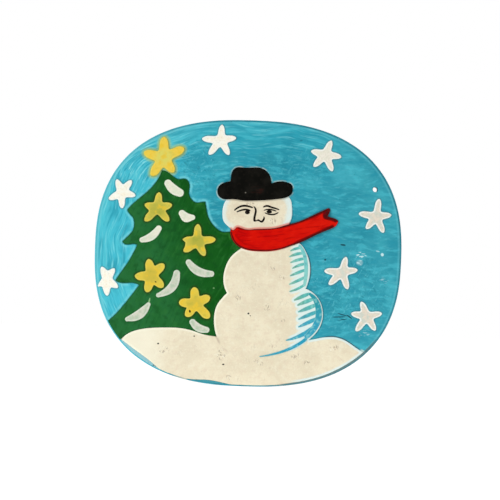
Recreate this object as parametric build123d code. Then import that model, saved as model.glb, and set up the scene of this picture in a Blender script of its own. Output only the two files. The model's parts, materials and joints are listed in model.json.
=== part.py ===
# A painted wooden hanging plaque: a snowman with a hat and scarf beside a decorated pine tree.
# Millimetres. +Z is up, the painted front faces -Y and the bare back lies on the plane y = 0.
# The origin is the centre of the back face.
from build123d import *
import math
import os

# The board
BOARD_WIDTH = 180.0
BOARD_HEIGHT = 156.3
BOARD_THICKNESS = 6.0
BOARD_ROUNDNESS = 2.5       # the exponent of its superellipse: 2 is an ellipse, more is squarer
OUTLINE_POINTS = 48
EDGE_RADIUS = 0.8           # front and back edges, eased by sanding
HOLE_RADIUS = 1.5
HOLE_CENTRE = (73.4, 39.8)
HOLE_CHIP = 0.25            # the paint stops this far short of the hole's wall
RIM_MARGIN = 0.15           # the snow stops this far inside the ground coat's edge

# Paint, each coat or stroke by its own thickness
SKY_FILM = 0.4
TREE_FILM = 0.4
BANK_FILM = 0.5
SNOWMAN_FILM = 0.7
HAT_FILM = 0.8
SCARF_FILM = 0.9
DAB_FILM = 0.35             # stars and garland strokes
LINE_FILM = 0.15            # face, shading and scarf lines

# Heights in front of the back face where each layer of paint starts
ON_BOARD = BOARD_THICKNESS
ON_SKY = ON_BOARD + SKY_FILM
ON_TREE = ON_SKY + TREE_FILM
ON_SNOWMAN = ON_SKY + SNOWMAN_FILM
ON_SCARF = ON_SKY + SCARF_FILM


# ---- flat outlines, drawn as (x, z) on the painted face ----

def rounded_oblong(inset=0.0):
    """The board's outline, a superellipse, drawn smaller by the inset."""
    half_width = BOARD_WIDTH / 2 - inset
    half_height = BOARD_HEIGHT / 2 - inset
    points = []
    for step in range(OUTLINE_POINTS):
        turn = 2 * math.pi * step / OUTLINE_POINTS
        across, up = math.cos(turn), math.sin(turn)
        points.append((
            math.copysign(abs(across) ** (2 / BOARD_ROUNDNESS) * half_width, across),
            math.copysign(abs(up) ** (2 / BOARD_ROUNDNESS) * half_height, up),
        ))
    return make_face(Spline(*points, periodic=True))


def smooth(*points):
    """A closed outline with no corner."""
    return make_face(Spline(*points, periodic=True))


def cornered(*stretches):
    """A closed outline: each stretch is a smooth run that ends at the next one's first point."""
    edges = []
    for stretch, following in zip(stretches, stretches[1:] + stretches[:1]):
        points = [*stretch, following[0]]
        edges.append(Spline(*points) if len(points) > 2 else Line(*points))
    return make_face(edges)


def dab(*stations):
    """One stroke of the brush with round ends: each station on its middle line is (x, z, width)."""
    sides = ([], [])
    headings = []
    last = len(stations) - 1
    for number, (x, z, width) in enumerate(stations):
        before, after = stations[max(number - 1, 0)], stations[min(number + 1, last)]
        heading = math.atan2(after[1] - before[1], after[0] - before[0])
        headings.append(heading)
        for side, sign in zip(sides, (1, -1)):
            side.append((
                x - sign * math.sin(heading) * width / 2,
                z + sign * math.cos(heading) * width / 2,
            ))
    caps = []
    for station, heading, sign in ((stations[0], headings[0], -1), (stations[-1], headings[-1], 1)):
        x, z, width = station
        caps.append((
            x + sign * math.cos(heading) * width / 2,
            z + sign * math.sin(heading) * width / 2,
        ))
    left, right = sides
    return make_face([
        Spline(*left),
        ThreePointArc(left[-1], caps[1], right[-1]),
        Spline(*reversed(right)),
        ThreePointArc(right[0], caps[0], left[0]),
    ])


def star(centre, tips, root, tip_radius):
    """A hand-painted star: five blunt arms out to their tips, each root wide on either side of its
    middle line where it leaves the valley."""
    tips = sorted(tips, key=lambda tip: math.atan2(tip[1] - centre[1], tip[0] - centre[0]))
    points = []
    for tip, following in zip(tips, tips[1:] + tips[:1]):
        reach = math.dist(centre, tip)
        heading = math.atan2(tip[1] - centre[1], tip[0] - centre[0])
        next_heading = math.atan2(following[1] - centre[1], following[0] - centre[0])
        gap = (next_heading - heading) % (2 * math.pi)
        shoulder = reach - tip_radius
        for along, across in ((shoulder, -tip_radius), (reach, 0), (shoulder, tip_radius)):
            points.append((
                centre[0] + along * math.cos(heading) - across * math.sin(heading),
                centre[1] + along * math.sin(heading) + across * math.cos(heading),
            ))
        valley = root / math.sin(gap / 2)
        points.append((
            centre[0] + valley * math.cos(heading + gap / 2),
            centre[1] + valley * math.sin(heading + gap / 2),
        ))
    return smooth(*points)


def film(outline, start, thickness):
    """A coat of paint: the outline, raised from the start height by its thickness."""
    return extrude(Plane.XZ.offset(start) * outline, amount=thickness, dir=(0, -1, 0))


# ---- the board and its ground coat ----

def make_board():
    board = extrude(Plane.XZ * rounded_oblong(), amount=BOARD_THICKNESS, dir=(0, -1, 0))
    across = board.edges().group_by(Axis.Y)
    board = fillet(across[0] + across[-1], EDGE_RADIUS)
    hole = Pos(*HOLE_CENTRE) * Circle(HOLE_RADIUS)
    return board - extrude(Plane.XZ * hole, amount=BOARD_THICKNESS, dir=(0, -1, 0))


PAINTED_FACE = rounded_oblong(EDGE_RADIUS)
BANK_LIMIT = rounded_oblong(EDGE_RADIUS + RIM_MARGIN)
SKY = PAINTED_FACE - Pos(*HOLE_CENTRE) * Circle(HOLE_RADIUS + HOLE_CHIP)

# ---- the large painted shapes ----

HAT = cornered(
    [(-11.7, 41.9), (-11.4, 45.2), (-10.6, 48), (-8.9, 49.8), (-4.5, 50.2), (1, 50.3), (5.5, 50.3),
     (8.6, 49), (10.8, 46.8), (12, 44)],
    [(12.3, 41.4), (15, 42.3), (18.5, 42.8), (22, 42.2), (24.4, 40.8), (25, 38.4), (24.3, 35.6),
     (22, 33.7), (17.5, 32.5), (10, 31.5), (2, 30.9), (-4, 30.8), (-10, 31.4), (-15.5, 31.4),
     (-18.2, 33), (-19.2, 35.8), (-18.3, 38.8), (-15.7, 40.8)],
)

SCARF = cornered(
    [(-10.6, 13.9), (-8.6, 13.6), (-7.4, 14.9), (-3, 14.2), (4, 14.3), (11, 14.7), (17.5, 15.8),
     (22.5, 17.5), (27, 18.8), (34, 21.8), (41, 25.4)],
    [(46.3, 28), (47.2, 27.3), (46.7, 25)],
    [(46, 22.9), (48, 22.5), (50, 22)],
    [(52.2, 20.7), (50.9, 17.8), (46.3, 15.2), (38.3, 11.4), (30.3, 7.3), (26, 5.7), (20, 3.3),
     (13, 1.7), (6, 1.4), (-1, 2), (-5.4, 3.7), (-8.8, 6.8), (-10.5, 10.3)],
)

HEAD = smooth(
    (-13.4, 31.6), (-15.3, 27.5), (-15.8, 23), (-14.7, 18), (-11.4, 14.8), (-5, 10), (5, 8.5),
    (17, 11), (23.3, 17.4), (25, 22.5), (24.9, 28), (23.9, 32.3), (20.5, 35.5), (5, 37), (-8, 35.5),
)

BODY = cornered(
    [(-11.6, -23.6), (-13.2, -20.3), (-14, -15.5), (-13.4, -10), (-11.6, -5), (-9, -1.2), (-5.2, 2),
     (2, 7.5), (14, 9.5), (25, 8.8), (31, 6), (34, 1.7), (36, -3.5), (36.7, -9), (36.1, -14.5)],
    [(34.4, -19.7), (38, -21.3), (41.8, -24.9), (44.3, -30), (45, -35.3), (44, -40.5),
     (41.4, -45.2), (37, -49.8), (30.5, -54.6), (22, -58.2), (13, -60.6), (3, -61.3), (-7, -59.3),
     (-14, -54.5), (-17.1, -48.8), (-18.5, -43), (-18.7, -37), (-17.6, -31.7), (-15, -27.4)],
)

BANK = cornered(
    [(-72.6, -52.7), (-69, -49.3), (-64, -47.1), (-56.5, -45.6), (-47, -45), (-38, -45.1),
     (-31, -46.4), (-25.5, -48.1), (-17.5, -49.3), (0, -50), (20, -50.5), (39.5, -49.3),
     (43.5, -48.3), (48, -47.6), (53, -47.6), (57.5, -48.8), (63, -52)],
    [(69.2, -55.8), (61, -62.3), (49, -69), (35, -73.6), (22, -76), (12, -77.7), (-2, -78),
     (-12, -76.3), (-21, -74.9), (-30, -74.8), (-37, -74.2), (-48, -70.6), (-54, -66), (-63, -59.6)],
)

TREE = cornered(
    [(-52, 47), (-53.6, 43), (-56.2, 38.8), (-60.3, 34.2), (-65.5, 29.6)],
    [(-71.6, 23.3), (-70.2, 21), (-68.2, 18.8), (-67.3, 15.5), (-67.7, 12), (-70, 8.6)],
    [(-73.8, 4.6), (-72.5, 3.2), (-69.5, 3.1), (-67, 3.4)],
    [(-65.1, 3), (-66.9, -1.2), (-70.4, -7.8), (-74.3, -13.6)],
    [(-77.2, -18.3), (-75, -19.4), (-71, -19.6), (-66.5, -19.5)],
    [(-63.2, -20.6), (-66.5, -25.2), (-71.5, -32), (-76.5, -38)],
    [(-84, -44.5)],
    [(-78, -52.6)],
    [(-70, -52.6)],
    [(-10, -52.6)],
    [(0, 6), (-7.5, 11.5), (-11.3, 12.3), (-14.5, 12), (-18, 13.3), (-21.5, 16.6), (-24, 20.6),
     (-25.2, 25)],
    [(-26, 29.3), (-28.5, 29.1), (-31.3, 28.8), (-34, 30.5), (-35.8, 34), (-35.5, 38)],
    [(-36.2, 40.9), (-39, 42.5), (-42, 42.1), (-46, 44.3)],
)

# ---- stars: centre, then the five tips; a tree star also has its own root and tip radius ----

SKY_STARS = [
    ((-18, 66.2), [(-17.6, 74.9), (-9.1, 67.4), (-13, 57.3), (-24.7, 57.1), (-29.1, 66.2)]),
    ((43.4, 59.6), [(46.8, 67.6), (52.9, 58.2), (47.9, 49.7), (36.9, 52), (35, 61.1)]),
    ((-75.2, 33.4), [(-78.4, 40.9), (-69.6, 40.6), (-67, 31.7), (-74.7, 24), (-82.6, 29)]),
    ((74.5, 24.2), [(75.8, 34.4), (83.3, 25.1), (79, 14.6), (68.8, 16.5), (64.1, 25.4)]),
    ((-82.2, -17.6), [(-85.6, -10.6), (-78, -11.3), (-75.6, -22.6), (-81.9, -27.5), (-87, -22.3)]),
    ((55.7, -9), [(57.5, -0.2), (64.5, -7.7), (59, -19.2), (48, -16.9), (45, -8.9)]),
    ((71, -34.6), [(67.2, -26.2), (79.6, -32.7), (76, -42.9), (64.7, -43.6), (61.5, -33.4)]),
]
SKY_STAR_ROOT = 2.5
SKY_STAR_TIP = 1.35

TOP_STAR = ((-51.3, 54.2), [(-51.3, 66.8), (-39.3, 60.5), (-44.9, 46), (-58, 43.5), (-63, 57.2)])
TOP_STAR_ROOT = 3.3
TOP_STAR_TIP = 2.3

TREE_STARS = [
    ((-54, 25), [(-53.1, 34.1), (-45.4, 27), (-47, 17.3), (-60.9, 16.9), (-61.5, 26.6)], 2.7, 1.7),
    ((-30, 6.3), [(-29.9, 16.2), (-19.3, 7.6), (-25.3, -2.3), (-37.6, -0.3), (-38.5, 6.8)], 2.8, 1.7),
    ((-56.2, -14.7), [(-58.2, -5.2), (-48.9, -7.9), (-49, -21.5), (-58.6, -24.7), (-65.8, -15.8)],
     3, 2.2),
    ((-29.9, -30.3), [(-30.9, -20.8), (-21.5, -26.1), (-21.5, -38.6), (-34.9, -38.3), (-39.6, -30)],
     2.9, 2.4),
]

# ---- garland strokes on the tree ----

GARLANDS = [
    [(-48.1, 39.5, 4.5), (-44.7, 36, 5.6), (-41.1, 34.2, 4.8)],
    [(-39.4, 22.2, 4), (-36.9, 19.8, 5.5), (-33.2, 20, 3.2)],
    [(-62.3, 5.9, 3.2), (-57.4, 7.8, 4.6), (-52.8, 12.9, 3.6)],
    [(-34.6, -6.4, 3.6), (-29.3, -11.2, 5), (-21.2, -12.7, 3.6)],
    [(-41.4, -13, 4), (-43.2, -20, 5.3), (-51.8, -26.2, 2.7)],
    [(-69.5, -40.8, 2.7), (-62.5, -37.8, 5.4), (-57.4, -31.8, 2.6)],
    [(-31.2, -41.3, 3.8), (-28, -44.3, 4.7), (-22.9, -45.6, 3.6)],
]

# ---- the drawn face: a calm look, each line laid with the tip of a fine brush ----

FACE_LINES = {
    "left_brow": [(-8.6, 25.1, 0.8), (-6, 27, 1), (-3.2, 27.8, 1.1), (-0.5, 27.5, 1),
                  (1.7, 26.9, 0.7)],
    "left_eyelid": [(-7.2, 24.1, 0.6), (-4.6, 25.2, 0.9), (-2, 25.6, 1), (0.2, 25.1, 0.8)],
    "right_brow": [(8.3, 27.5, 0.8), (10.6, 28.1, 1.1), (12.9, 27.4, 1), (15.2, 26.8, 0.9),
                   (17.2, 26.2, 0.6)],
    "right_eyelid": [(8.6, 25.5, 0.5), (11.2, 26.1, 0.8), (13.4, 25.9, 0.8), (15.6, 25.3, 0.5)],
    "right_lower_lid": [(9.2, 24, 0.5), (12, 23.2, 0.8), (14.4, 23.3, 0.8), (16.8, 24.4, 0.5)],
    "nose_line": [(2.6, 27.4, 0.6), (3.7, 25.2, 1.1), (3.2, 22, 1.2), (3.5, 19.1, 1.3), (5.4, 19.6, 1),
                  (7, 18.8, 1.1), (8.5, 20.1, 1.1), (8.6, 21.6, 0.6)],
}
LEFT_PUPIL = ((-1.2, 24), (1.4, 1.15))
RIGHT_PUPIL = ((11.6, 24.75), (1.6, 0.95))

# ---- shading down the snowman's right side ----

UPPER_BAND = dab(
    (30.1, 5.2, 1.6), (32.4, 1.6, 2), (33.9, -3.8, 2.2), (34.3, -10, 2.2), (33.6, -17.6, 1.5),
)
UPPER_STROKES = [
    [(30.9, 4.2, 1.3), (28.2, 3.7, 1.6), (24.9, 2.3, 0.7)],
    [(32.4, 1.1, 1.3), (28.5, 0.5, 1.8), (24.3, -1.2, 0.7)],
    [(33.6, -1.9, 1.3), (29.4, -2.9, 1.8), (25.1, -4.6, 0.7)],
    [(34, -5, 1.3), (30, -6.1, 1.7), (26.4, -7.9, 0.7)],
    [(34.2, -8.5, 1.3), (29.9, -10.2, 1.8), (25.2, -12.3, 0.7)],
    [(34.2, -12.6, 1.3), (30, -14.9, 1.8), (24.8, -17.3, 0.7)],
    [(33.6, -17.3, 1.3), (29.7, -19.8, 1.5), (25.2, -21.5, 0.7)],
]
LOWER_BAND = dab(
    (37, -22.7, 1.7), (40.4, -26.2, 2.9), (42.3, -31.6, 3.6), (42.2, -37.6, 3.8), (39.6, -43.3, 3.6),
    (35.9, -47.6, 2.8),
)
LOWER_STROKES = [
    [(36.4, -22.5, 1.5), (32.2, -24.4, 2.2), (28, -26.5, 0.8)],
    [(39.5, -25.3, 1.5), (34.8, -27.2, 2.3), (30, -29.4, 0.8)],
    [(41.4, -28.6, 1.6), (36.2, -30.9, 2.4), (30.6, -33.3, 0.8)],
    [(42.2, -32.6, 1.6), (36.8, -34.9, 2.3), (30.8, -37.6, 0.8)],
    [(42.4, -36.4, 1.6), (36.8, -39.2, 2.3), (31, -42.1, 0.8)],
    [(41.4, -41, 2.8), (34.2, -46.1, 2.5), (24, -50.2, 0.7)],
]
BASE_STROKE = dab(
    (35.2, -49.3, 2), (29.4, -53.4, 1.8), (22.6, -56.6, 1.6), (15.6, -58.8, 1.1), (8.8, -60.2, 0.5),
)

# ---- dark lines along the scarf ----

SCARF_TOP_LINE = dab(
    (-6.4, 14.3, 0.3), (0.5, 13.9, 0.4), (9, 14.3, 0.5), (17, 15.4, 0.6), (24, 17.6, 0.9),
    (32, 20.6, 1), (39, 24, 1), (44.6, 26.9, 0.9),
)
SCARF_BOTTOM_LINE = dab(
    (48.9, 17.2, 0.9), (42.4, 13.9, 1.1), (35.4, 10.4, 1.1), (29, 7.2, 0.9), (21, 4.1, 0.6), (13, 2.3, 0.6),
    (5.5, 2, 0.6), (-1, 2.7, 0.6), (-5.8, 4.7, 0.6), (-8.7, 8, 0.5), (-10.1, 12, 0.5),
)
TAIL_SHADOW = cornered(
    [(46.3, 28), (47.2, 27.3), (46.7, 25)],
    [(46, 22.9), (48, 22.5), (50, 22)],
    [(52.2, 20.7), (49.9, 20.6), (47, 21.4), (43.9, 22.3), (44.6, 25)],
)


# ---- every node ----

def make_parts():
    nodes = {"board": make_board(), "sky_coat": film(SKY, ON_BOARD, SKY_FILM)}

    snowman = BODY - SCARF
    head = HEAD - HAT - SCARF
    bank = (BANK & BANK_LIMIT) - BODY
    top_star = star(*TOP_STAR, TOP_STAR_ROOT, TOP_STAR_TIP)
    tree = (TREE & PAINTED_FACE) - top_star - BODY - BANK - SCARF
    nodes["pine_tree"] = film(tree, ON_SKY, TREE_FILM)
    nodes["snow_bank"] = film(bank, ON_SKY, BANK_FILM)
    nodes["snowman_body"] = film(snowman, ON_SKY, SNOWMAN_FILM)
    nodes["snowman_head"] = film(head, ON_SKY, SNOWMAN_FILM)
    nodes["hat"] = film(HAT, ON_SKY, HAT_FILM)
    nodes["scarf"] = film(SCARF, ON_SKY, SCARF_FILM)

    nodes["tree_top_star"] = film(top_star, ON_SKY, TREE_FILM + DAB_FILM)
    for number, (centre, tips) in enumerate(SKY_STARS, 1):
        outline = star(centre, tips, SKY_STAR_ROOT, SKY_STAR_TIP)
        nodes[f"sky_star_{number}"] = film(outline, ON_SKY, DAB_FILM)
    for number, measures in enumerate(TREE_STARS, 1):
        nodes[f"tree_star_{number}"] = film(star(*measures), ON_TREE, DAB_FILM)
    for number, stations in enumerate(GARLANDS, 1):
        nodes[f"garland_{number}"] = film(dab(*stations) & tree, ON_TREE, DAB_FILM)

    pupils = {
        "left_pupil": Pos(*LEFT_PUPIL[0]) * Ellipse(*LEFT_PUPIL[1]),
        "right_pupil": Pos(*RIGHT_PUPIL[0]) * Ellipse(*RIGHT_PUPIL[1]),
    }
    for name, stations in FACE_LINES.items():
        line = dab(*stations)
        for pupil in pupils.values():
            line -= pupil
        nodes[name] = film(line, ON_SNOWMAN, LINE_FILM)
    for name, pupil in pupils.items():
        nodes[name] = film(pupil, ON_SNOWMAN, LINE_FILM)

    shading = {"upper": (UPPER_BAND, UPPER_STROKES), "lower": (LOWER_BAND, LOWER_STROKES)}
    for level, (band, strokes) in shading.items():
        nodes[f"{level}_shade_band"] = film(band, ON_SNOWMAN, LINE_FILM)
        for number, stations in enumerate(strokes, 1):
            stroke = dab(*stations) - band
            nodes[f"{level}_shade_stroke_{number}"] = film(stroke, ON_SNOWMAN, LINE_FILM)
    nodes["base_shade_stroke"] = film(BASE_STROKE - LOWER_BAND, ON_SNOWMAN, LINE_FILM)

    nodes["scarf_tail_shadow"] = film(TAIL_SHADOW & SCARF, ON_SCARF, LINE_FILM)
    nodes["scarf_top_line"] = film((SCARF_TOP_LINE & SCARF) - TAIL_SHADOW, ON_SCARF, LINE_FILM)
    nodes["scarf_bottom_line"] = film(SCARF_BOTTOM_LINE & SCARF, ON_SCARF, LINE_FILM)
    return nodes


os.makedirs("parts", exist_ok=True)
for node_name, shape in make_parts().items():
    export_step(shape, f"parts/{node_name}.step")
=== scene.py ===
# %% [markdown]
# # A painted wooden snowman plaque
# The object is one flat board, cut as a rounded oblong and painted by hand: a blue sky, a pine tree,
# a bank of snow and a snowman. The CAD model holds every coat and every stroke as a thin solid with
# the right outline, but with sharp edges and a dead flat top. This lesson lays the same coats again
# with rounded edges, the ridges that bristles leave, and colour that is never quite even. Loading the
# frame comes first, because every later piece takes its place and its outline from it.

# %% Load the frame
import json
import math

import bmesh
import bpy
import numpy as np
from mathutils import Matrix, Vector
from mathutils.geometry import delaunay_2d_cdt
from mathutils.kdtree import KDTree

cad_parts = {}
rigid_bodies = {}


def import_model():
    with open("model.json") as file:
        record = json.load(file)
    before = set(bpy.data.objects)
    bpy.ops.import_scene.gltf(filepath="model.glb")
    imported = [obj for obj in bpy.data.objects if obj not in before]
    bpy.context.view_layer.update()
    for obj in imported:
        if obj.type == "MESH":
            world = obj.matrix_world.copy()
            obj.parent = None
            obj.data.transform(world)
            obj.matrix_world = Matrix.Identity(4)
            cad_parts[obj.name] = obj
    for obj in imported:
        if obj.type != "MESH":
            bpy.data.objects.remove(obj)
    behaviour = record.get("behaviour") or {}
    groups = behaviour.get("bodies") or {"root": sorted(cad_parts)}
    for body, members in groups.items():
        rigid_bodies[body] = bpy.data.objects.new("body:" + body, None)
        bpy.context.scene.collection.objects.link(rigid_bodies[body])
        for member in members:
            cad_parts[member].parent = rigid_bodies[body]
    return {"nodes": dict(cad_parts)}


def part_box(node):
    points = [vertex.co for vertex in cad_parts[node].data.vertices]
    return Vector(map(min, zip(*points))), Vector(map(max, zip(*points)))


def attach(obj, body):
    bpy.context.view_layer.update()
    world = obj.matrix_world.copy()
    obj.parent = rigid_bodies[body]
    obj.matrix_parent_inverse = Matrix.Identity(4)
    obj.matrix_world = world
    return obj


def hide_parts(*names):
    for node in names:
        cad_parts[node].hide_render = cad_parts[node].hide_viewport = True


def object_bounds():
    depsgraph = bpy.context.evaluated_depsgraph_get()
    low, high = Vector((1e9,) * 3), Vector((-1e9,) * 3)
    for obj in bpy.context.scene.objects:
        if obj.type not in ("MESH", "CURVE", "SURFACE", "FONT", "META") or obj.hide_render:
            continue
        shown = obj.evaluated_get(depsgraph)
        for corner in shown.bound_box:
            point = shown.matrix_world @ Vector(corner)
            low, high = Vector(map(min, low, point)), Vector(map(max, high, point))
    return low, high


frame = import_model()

cad_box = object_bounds()
scene = bpy.context.scene
print(f"loaded {len(frame['nodes'])} nodes")

# %% [markdown]
# Lengths in the scene are metres, but paint is easier to think about in millimetres. Everything below
# is written in millimetres on the painted face, x across and z up, and is turned into metres at the
# last moment, when a mesh is written.

# %% Units and the board's measures
MM = 0.001
board_low, board_high = (np.array(corner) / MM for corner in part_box("board"))
half_width, _, half_height = (board_high - board_low) / 2
painted_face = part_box("sky_coat")[0].y / MM
print(f"board {2 * half_width:.1f} x {2 * half_height:.1f} mm")
print(f"painted face at y = {painted_face:.2f} mm")

# %% [markdown]
# ## Writing node trees as sums
# A shader or a Geometry Nodes tree is a drawing of arithmetic. Placing its boxes one by one makes long
# code, so a small class stands for one output of a node, and Python's own + - * / on it add the Math
# nodes. `1 - mask` works too, because the reflected forms are there.

# %% A wire, and the bench it is soldered on
class Wire:
    """One output of a node. Arithmetic on it adds Math nodes."""

    def __init__(self, bench, socket):
        self.bench, self.socket = bench, socket

    def other(self, name):
        """Another output of the same node."""
        return Wire(self.bench, self.socket.node.outputs[name])

    def __add__(self, value):
        return self.bench.math("ADD", self, value)

    def __radd__(self, value):
        return self.bench.math("ADD", value, self)

    def __sub__(self, value):
        return self.bench.math("SUBTRACT", self, value)

    def __rsub__(self, value):
        return self.bench.math("SUBTRACT", value, self)

    def __mul__(self, value):
        return self.bench.math("MULTIPLY", self, value)

    def __rmul__(self, value):
        return self.bench.math("MULTIPLY", value, self)

    def __truediv__(self, value):
        return self.bench.math("DIVIDE", self, value)

    def __pow__(self, value):
        return self.bench.math("POWER", self, value)


class Bench:
    """A node tree that is being put together."""

    def __init__(self, tree):
        self.tree = tree
        tree.nodes.clear()

    def node(self, kind, settings=None, sockets=None, out=0):
        """Adds a node: settings first, then the values or wires of its sockets."""
        made = self.tree.nodes.new(kind)
        for name, value in (settings or {}).items():
            setattr(made, name, value)
        for key, value in (sockets or {}).items():
            if isinstance(value, Wire):
                self.tree.links.new(value.socket, made.inputs[key])
            else:
                made.inputs[key].default_value = value
        return Wire(self, made.outputs[out]) if made.outputs else made

    def math(self, operation, first, second=0.0, clamp=False):
        return self.node("ShaderNodeMath", {"operation": operation, "use_clamp": clamp},
                         {0: first, 1: second})

    def ease(self, value, start, end, low=0.0, high=1.0):
        """Goes smoothly from low to high while the value goes from start to end."""
        return self.node("ShaderNodeMapRange", {"interpolation_type": "SMOOTHSTEP"},
                         {0: value, 1: start, 2: end, 3: low, 4: high})

    def vector(self, x=0.0, y=0.0, z=0.0):
        return self.node("ShaderNodeCombineXYZ", None, {0: x, 1: y, 2: z})

    def noise(self, vector, detail=2.0, roughness=0.5, scale=1.0):
        return self.node("ShaderNodeTexNoise", {"noise_dimensions": "3D"},
                         {"Vector": vector, "Scale": scale, "Detail": detail, "Roughness": roughness})


print("benches are ready for shaders and for geometry")

# %% [markdown]
# ## Taking the outline of a coat
# A coat of paint is known by its outline. The CAD solid has it as the rim of its front face. The mesh
# of a CAD node is loose triangles, so a copy is merged first; then the edges with the front face on
# one side only are the rim, and walking along them gives closed loops.

# %% Outline loops of a CAD node
MERGE = 2e-6                        # metres: points closer than this are one point


def outline(node):
    """The loops round a node's front face, each an array of (x, z) in millimetres."""
    copy = bmesh.new()
    copy.from_mesh(frame["nodes"][node].data)
    bmesh.ops.remove_doubles(copy, verts=copy.verts, dist=MERGE)
    front = min(vertex.co.y for vertex in copy.verts)
    facing = {f for f in copy.faces if all(v.co.y < front + MERGE for v in f.verts)}
    beside = {}
    for edge in copy.edges:
        if sum(face in facing for face in edge.link_faces) == 1:
            a, b = edge.verts
            beside.setdefault(a.index, []).append(b.index)
            beside.setdefault(b.index, []).append(a.index)
    place = {v.index: (v.co.x / MM, v.co.z / MM) for v in copy.verts}
    copy.free()
    loops = []
    while beside:
        start = min(beside)
        loop, here, before = [], start, None
        while here in beside:
            loop.append(place[here])
            onward = [n for n in beside.pop(here) if n != before and (n in beside or n == start)]
            here, before = (onward[0] if onward else None), here
        loops.append(np.array(loop))
    return sorted(loops, key=len, reverse=True)


outlines = {name: outline(name) for name in frame["nodes"] if name != "board"}
print("outlines:", {name: [len(loop) for loop in loops] for name, loops in outlines.items()})

# %% [markdown]
# ## Measuring on the painted face
# Three small tools do all the measuring: one puts points at an even spacing along a loop, one says
# which points are inside, and one gives each point's distance to a set of loops. A k-d tree makes the
# last one fast, because it never looks at loops that are far away.

# %% Spacing, inside and distance
FAR = 1000.0                        # stands for no outline near
TRACE_STEP = 0.12                   # spacing of the points that distances are measured to


def spaced(loop, step):
    """The loop with its long edges divided, so that no two points are further apart than the step."""
    points = []
    for a, b in zip(loop, np.roll(loop, -1, axis=0)):
        pieces = max(1, math.ceil(np.linalg.norm(b - a) / step))
        points.extend(a + (b - a) * i / pieces for i in range(pieces))
    return np.array(points)


def inside(points, loops):
    """True for each point that an odd number of loops goes round."""
    hits = np.zeros(len(points), dtype=bool)
    for loop in loops:
        for (ax, az), (bx, bz) in zip(loop, np.roll(loop, -1, axis=0)):
            spans = (points[:, 1] < az) != (points[:, 1] < bz)
            if az != bz:
                hits ^= spans & (points[:, 0] < ax + (points[:, 1] - az) * (bx - ax) / (bz - az))
    return hits


def finder(points):
    tree = KDTree(len(points))
    for number, (x, z) in enumerate(points):
        tree.insert((x, 0, z), number)
    tree.balance()
    return tree


def distance(points, traces):
    """Each point's distance to the nearest trace point, or FAR if there is none."""
    if not len(traces):
        return np.full(len(points), FAR)
    tree = finder(traces)
    return np.array([tree.find((x, 0, z))[2] for x, z in points])


def trace(*nodes):
    """Closely spaced points along the outlines of some nodes."""
    loops = [spaced(loop, TRACE_STEP) for node in nodes for loop in outlines[node]]
    return np.concatenate(loops) if loops else np.zeros((0, 2))


print(f"the tree's outline is {len(trace('pine_tree')) * TRACE_STEP:.0f} mm long")

# %% [markdown]
# ## A blank for one coat
# Bristle ridges and a rounded edge need points to move. The blank of a coat is a closed slab with the
# CAD outline, many points on its top and few below. The points are rings that follow the outline just
# inside it, where the paint rounds over, and an even honeycomb further in. A Delaunay triangulation
# joins them, and keeps the outline because its edges are given as fixed. Each point also remembers how
# far it is from the edge, and the shader and the geometry nodes both use that later.

# %% Make a blank
RINGS = (0.18, 0.42, 0.7, 1.0)      # ring distances, as shares of the rounding
SKIRT = 0.28                        # how far a coat reaches into the one under it
FINEST_STEP = 0.15                  # the closest spacing of points along an outline
TOUCHING = 0.1                      # outlines nearer than this are one shared join
RING_SLACK = 0.93                   # a ring point this near to its distance still counts
CROWDED = 0.16                      # inner points closer than this share of the rounding are dropped
CLEAR_OF_RINGS = 0.4                # honeycomb spacings left free inside the last ring


def honeycomb(loop, spacing):
    low, high = loop.min(axis=0), loop.max(axis=0)
    rows = np.arange(low[1], high[1], spacing * math.sqrt(3) / 2)
    columns = np.arange(low[0] - spacing, high[0] + spacing, spacing)
    grid = [(columns + (row % 2) * spacing / 2, np.full(len(columns), z)) for row, z in enumerate(rows)]
    return np.concatenate([np.stack(pair, axis=1) for pair in grid])


def ring_points(loops, edge_trace, distances):
    """Points that follow the loops on the inside, one ring for each distance."""
    tree = finder(edge_trace)
    found = []
    for loop in loops:
        along = np.roll(loop, -1, axis=0) - np.roll(loop, 1, axis=0)
        along /= np.maximum(np.linalg.norm(along, axis=1, keepdims=True), 1e-9)
        normal = np.stack((-along[:, 1], along[:, 0]), axis=1)
        for away in distances:
            for side in (1, -1):
                ring = loop + normal * away * side
                ring = ring[inside(ring, loops)]
                near = np.array([tree.find((x, 0, z))[2] for x, z in ring]) if len(ring) else []
                found.append(ring[np.asarray(near) > RING_SLACK * away] if len(ring) else ring)
    return np.concatenate(found)


def thinned(points, least):
    """Drops points that are closer than the least distance to one already kept."""
    kept, cells = [], {}
    for x, z in points:
        cell = (int(x // least), int(z // least))
        around = [cells.get((cell[0] + i, cell[1] + k), ()) for i in (-1, 0, 1) for k in (-1, 0, 1)]
        if all((x - u) ** 2 + (z - w) ** 2 >= least ** 2 for group in around for u, w in group):
            kept.append((x, z))
            cells.setdefault(cell, []).append((x, z))
    return np.array(kept)


def triangulated(points, loops):
    """Triangles inside the loops. The loops' points come first in points."""
    fixed, start = [], 0
    for loop in loops:
        fixed += [(start + i, start + (i + 1) % len(loop)) for i in range(len(loop))]
        start += len(loop)
    made = delaunay_2d_cdt([Vector(p) for p in points], fixed, [], 0, 1e-5)
    corners, faces = np.array([v[:] for v in made[0]]), np.array(made[2])
    return corners, faces[inside(corners[faces].mean(axis=1), loops)].tolist()


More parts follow.
